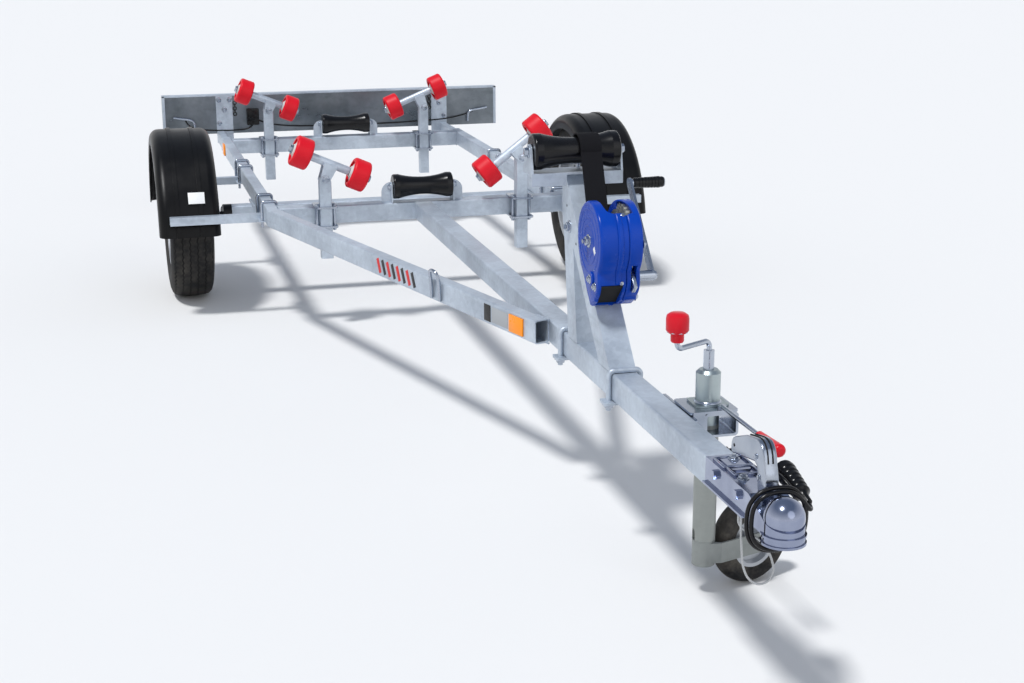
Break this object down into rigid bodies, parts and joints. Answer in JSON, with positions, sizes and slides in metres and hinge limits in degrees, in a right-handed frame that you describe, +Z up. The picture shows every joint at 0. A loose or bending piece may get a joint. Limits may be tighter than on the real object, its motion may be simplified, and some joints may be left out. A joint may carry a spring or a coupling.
{
  "type": "boat trailer",
  "caption": "Single-axle galvanised boat trailer with V drawbar, winch post, jockey wheel, swivelling roller cradles, keel rollers, mudguards and a slide-out light board.",
  "frame": {"origin": "on the ground, under the middle of the trailer's length and width", "axes": "+Z up, -Y the towing direction, +X the trailer's own left side"},
  "size_m": [1.764, 5.162, 0.89],
  "materials": {
    "black_paint": "satin black paint",
    "black_rubber": "smooth black rubber",
    "blue_plastic": "semi-gloss blue moulding",
    "galvanised_steel": "hot-dip galvanised, faint spangle",
    "guard_plastic": "satin moulded black plastic",
    "red_lens": "red lamp lens",
    "red_plastic": "red vinyl grip",
    "red_rubber": "bright red roller rubber",
    "steel_wire": "stranded galvanised wire",
    "tyre_rubber": "black tyre rubber",
    "webbing": "woven black webbing",
    "wheel_paint": "silver painted steel",
    "zinc_plate": "bright blue zinc plate"
  },
  "bodies": {
    "chassis": {"drawbar": "galvanised_steel", "rail_left": "galvanised_steel", "rail_right": "galvanised_steel", "arm_left": "galvanised_steel", "arm_right": "galvanised_steel", "cross_front": "galvanised_steel", "cross_rear": "galvanised_steel", "axle_beam": "galvanised_steel", "swing_arms": "black_paint", "mudguard_left": "guard_plastic", "mudguard_right": "guard_plastic", "stays": "galvanised_steel", "rail_bolts": "zinc_plate", "coupling_head": "zinc_plate", "coupling_handle": "zinc_plate", "winch_post": "galvanised_steel", "post_clamps": "galvanised_steel", "bow_bracket": "galvanised_steel", "keel_brackets": "galvanised_steel", "winch_case": "blue_plastic", "winch_gear": "zinc_plate", "winch_strap": "webbing", "strap_hook": "zinc_plate", "jockey_bracket": "zinc_plate", "jockey_sleeve": "zinc_plate", "jockey_crank": "zinc_plate", "release_rod": "zinc_plate", "release_grip": "red_plastic", "cradle_posts": "galvanised_steel", "cradle_clamps": "zinc_plate", "cable_grommet": "black_rubber", "cable_tube": "black_rubber", "cable_coil": "black_rubber", "cable_plug": "black_rubber", "safety_wire": "steel_wire"},
    "wheel_left": {"tyre_left": "tyre_rubber", "wheel_left": "wheel_paint"},
    "wheel_right": {"tyre_right": "tyre_rubber", "wheel_right": "wheel_paint"},
    "jockey_leg": {"jockey_stem": "zinc_plate"},
    "jockey_caster": {"jockey_fork": "galvanised_steel"},
    "jockey_wheel": {"jockey_tyre": "tyre_rubber", "jockey_rim": "wheel_paint"},
    "winch_crank": {"winch_crank": "zinc_plate"},
    "bow_roller": {"bow_roller": "black_rubber"},
    "keel_roller_front": {"keel_roller_front": "black_rubber"},
    "keel_roller_rear": {"keel_roller_rear": "black_rubber"},
    "rocker_front_right": {"rocker_front_right": "galvanised_steel"},
    "rollers_front_right": {"rollers_front_right": "red_rubber"},
    "rocker_front_left": {"rocker_front_left": "galvanised_steel"},
    "rollers_front_left": {"rollers_front_left": "red_rubber"},
    "rocker_rear_right": {"rocker_rear_right": "galvanised_steel"},
    "rollers_rear_right": {"rollers_rear_right": "red_rubber"},
    "rocker_rear_left": {"rocker_rear_left": "galvanised_steel"},
    "rollers_rear_left": {"rollers_rear_left": "red_rubber"},
    "light_unit": {"carriers": "galvanised_steel", "light_board": "galvanised_steel", "lamps": "red_lens"}
  },
  "joints": [
    {"name": "left_wheel_spin", "type": "hinge", "parent": "chassis", "child": "wheel_left", "pos_m": [0.765, 1.069, 0.289], "axis": [1, 0, 0], "continuous": true},
    {"name": "right_wheel_spin", "type": "hinge", "parent": "chassis", "child": "wheel_right", "pos_m": [-0.765, 1.069, 0.289], "axis": [1, 0, 0], "continuous": true},
    {"name": "jockey_lift", "type": "slide", "parent": "chassis", "child": "jockey_leg", "axis": [0, 0, -1], "range_m": [0, 0.15]},
    {"name": "jockey_swivel", "type": "hinge", "parent": "jockey_leg", "child": "jockey_caster", "pos_m": [0.088, -1.959, 0.08], "axis": [0, 0, 1], "continuous": true},
    {"name": "jockey_wheel_spin", "type": "hinge", "parent": "jockey_caster", "child": "jockey_wheel", "pos_m": [0.20688, -1.92037, 0.095], "axis": [-0.309, 0.9511, 0], "continuous": true},
    {"name": "bow_roller_spin", "type": "hinge", "parent": "chassis", "child": "bow_roller", "pos_m": [-0.009, -1.331, 0.848], "axis": [1, 0, 0], "continuous": true},
    {"name": "winch_crank_turn", "type": "hinge", "parent": "chassis", "child": "winch_crank", "pos_m": [0, -1.58947, 0.60212], "axis": [1, 0, 0], "continuous": true},
    {"name": "keel_roller_front_spin", "type": "hinge", "parent": "chassis", "child": "keel_roller_front", "pos_m": [0, 0.50045, 0.465], "axis": [1, 0, 0], "continuous": true},
    {"name": "keel_roller_rear_spin", "type": "hinge", "parent": "chassis", "child": "keel_roller_rear", "pos_m": [0, 2.176, 0.465], "axis": [1, 0, 0], "continuous": true},
    {"name": "rocker_front_right_tilt", "type": "hinge", "parent": "chassis", "child": "rocker_front_right", "pos_m": [-0.34, 0.46045, 0.512], "axis": [0, -1, 0], "range_deg": [-21.4, 68.6]},
    {"name": "rollers_front_right_spin", "type": "hinge", "parent": "rocker_front_right", "child": "rollers_front_right", "pos_m": [-0.31958, 0.46045, 0.55873], "axis": [0.9164, 0, -0.4003], "continuous": true},
    {"name": "rocker_front_left_tilt", "type": "hinge", "parent": "chassis", "child": "rocker_front_left", "pos_m": [0.34, 0.46045, 0.556], "axis": [0, -1, 0], "range_deg": [-82, 8]},
    {"name": "rollers_front_left_spin", "type": "hinge", "parent": "rocker_front_left", "child": "rollers_front_left", "pos_m": [0.30955, 0.46045, 0.57813], "axis": [0.7986, 0, 0.6018], "continuous": true},
    {"name": "rocker_rear_right_tilt", "type": "hinge", "parent": "chassis", "child": "rocker_rear_right", "pos_m": [-0.34, 2.136, 0.541], "axis": [0, -1, 0], "range_deg": [-23, 67]},
    {"name": "rollers_rear_right_spin", "type": "hinge", "parent": "rocker_rear_right", "child": "rollers_rear_right", "pos_m": [-0.34283, 2.136, 0.58205], "axis": [0.9272, 0, -0.3746], "continuous": true},
    {"name": "rocker_rear_left_tilt", "type": "hinge", "parent": "chassis", "child": "rocker_rear_left", "pos_m": [0.34, 2.136, 0.53], "axis": [0, -1, 0], "range_deg": [-66.9, 23.1]},
    {"name": "rollers_rear_left_spin", "type": "hinge", "parent": "rocker_rear_left", "child": "rollers_rear_left", "pos_m": [0.3065, 2.136, 0.57581], "axis": [0.9278, 0, 0.373], "continuous": true},
    {"name": "board_slide", "type": "slide", "parent": "chassis", "child": "light_unit", "axis": [0, 1, 0], "range_m": [-0.15, 0.25]}
  ]
}
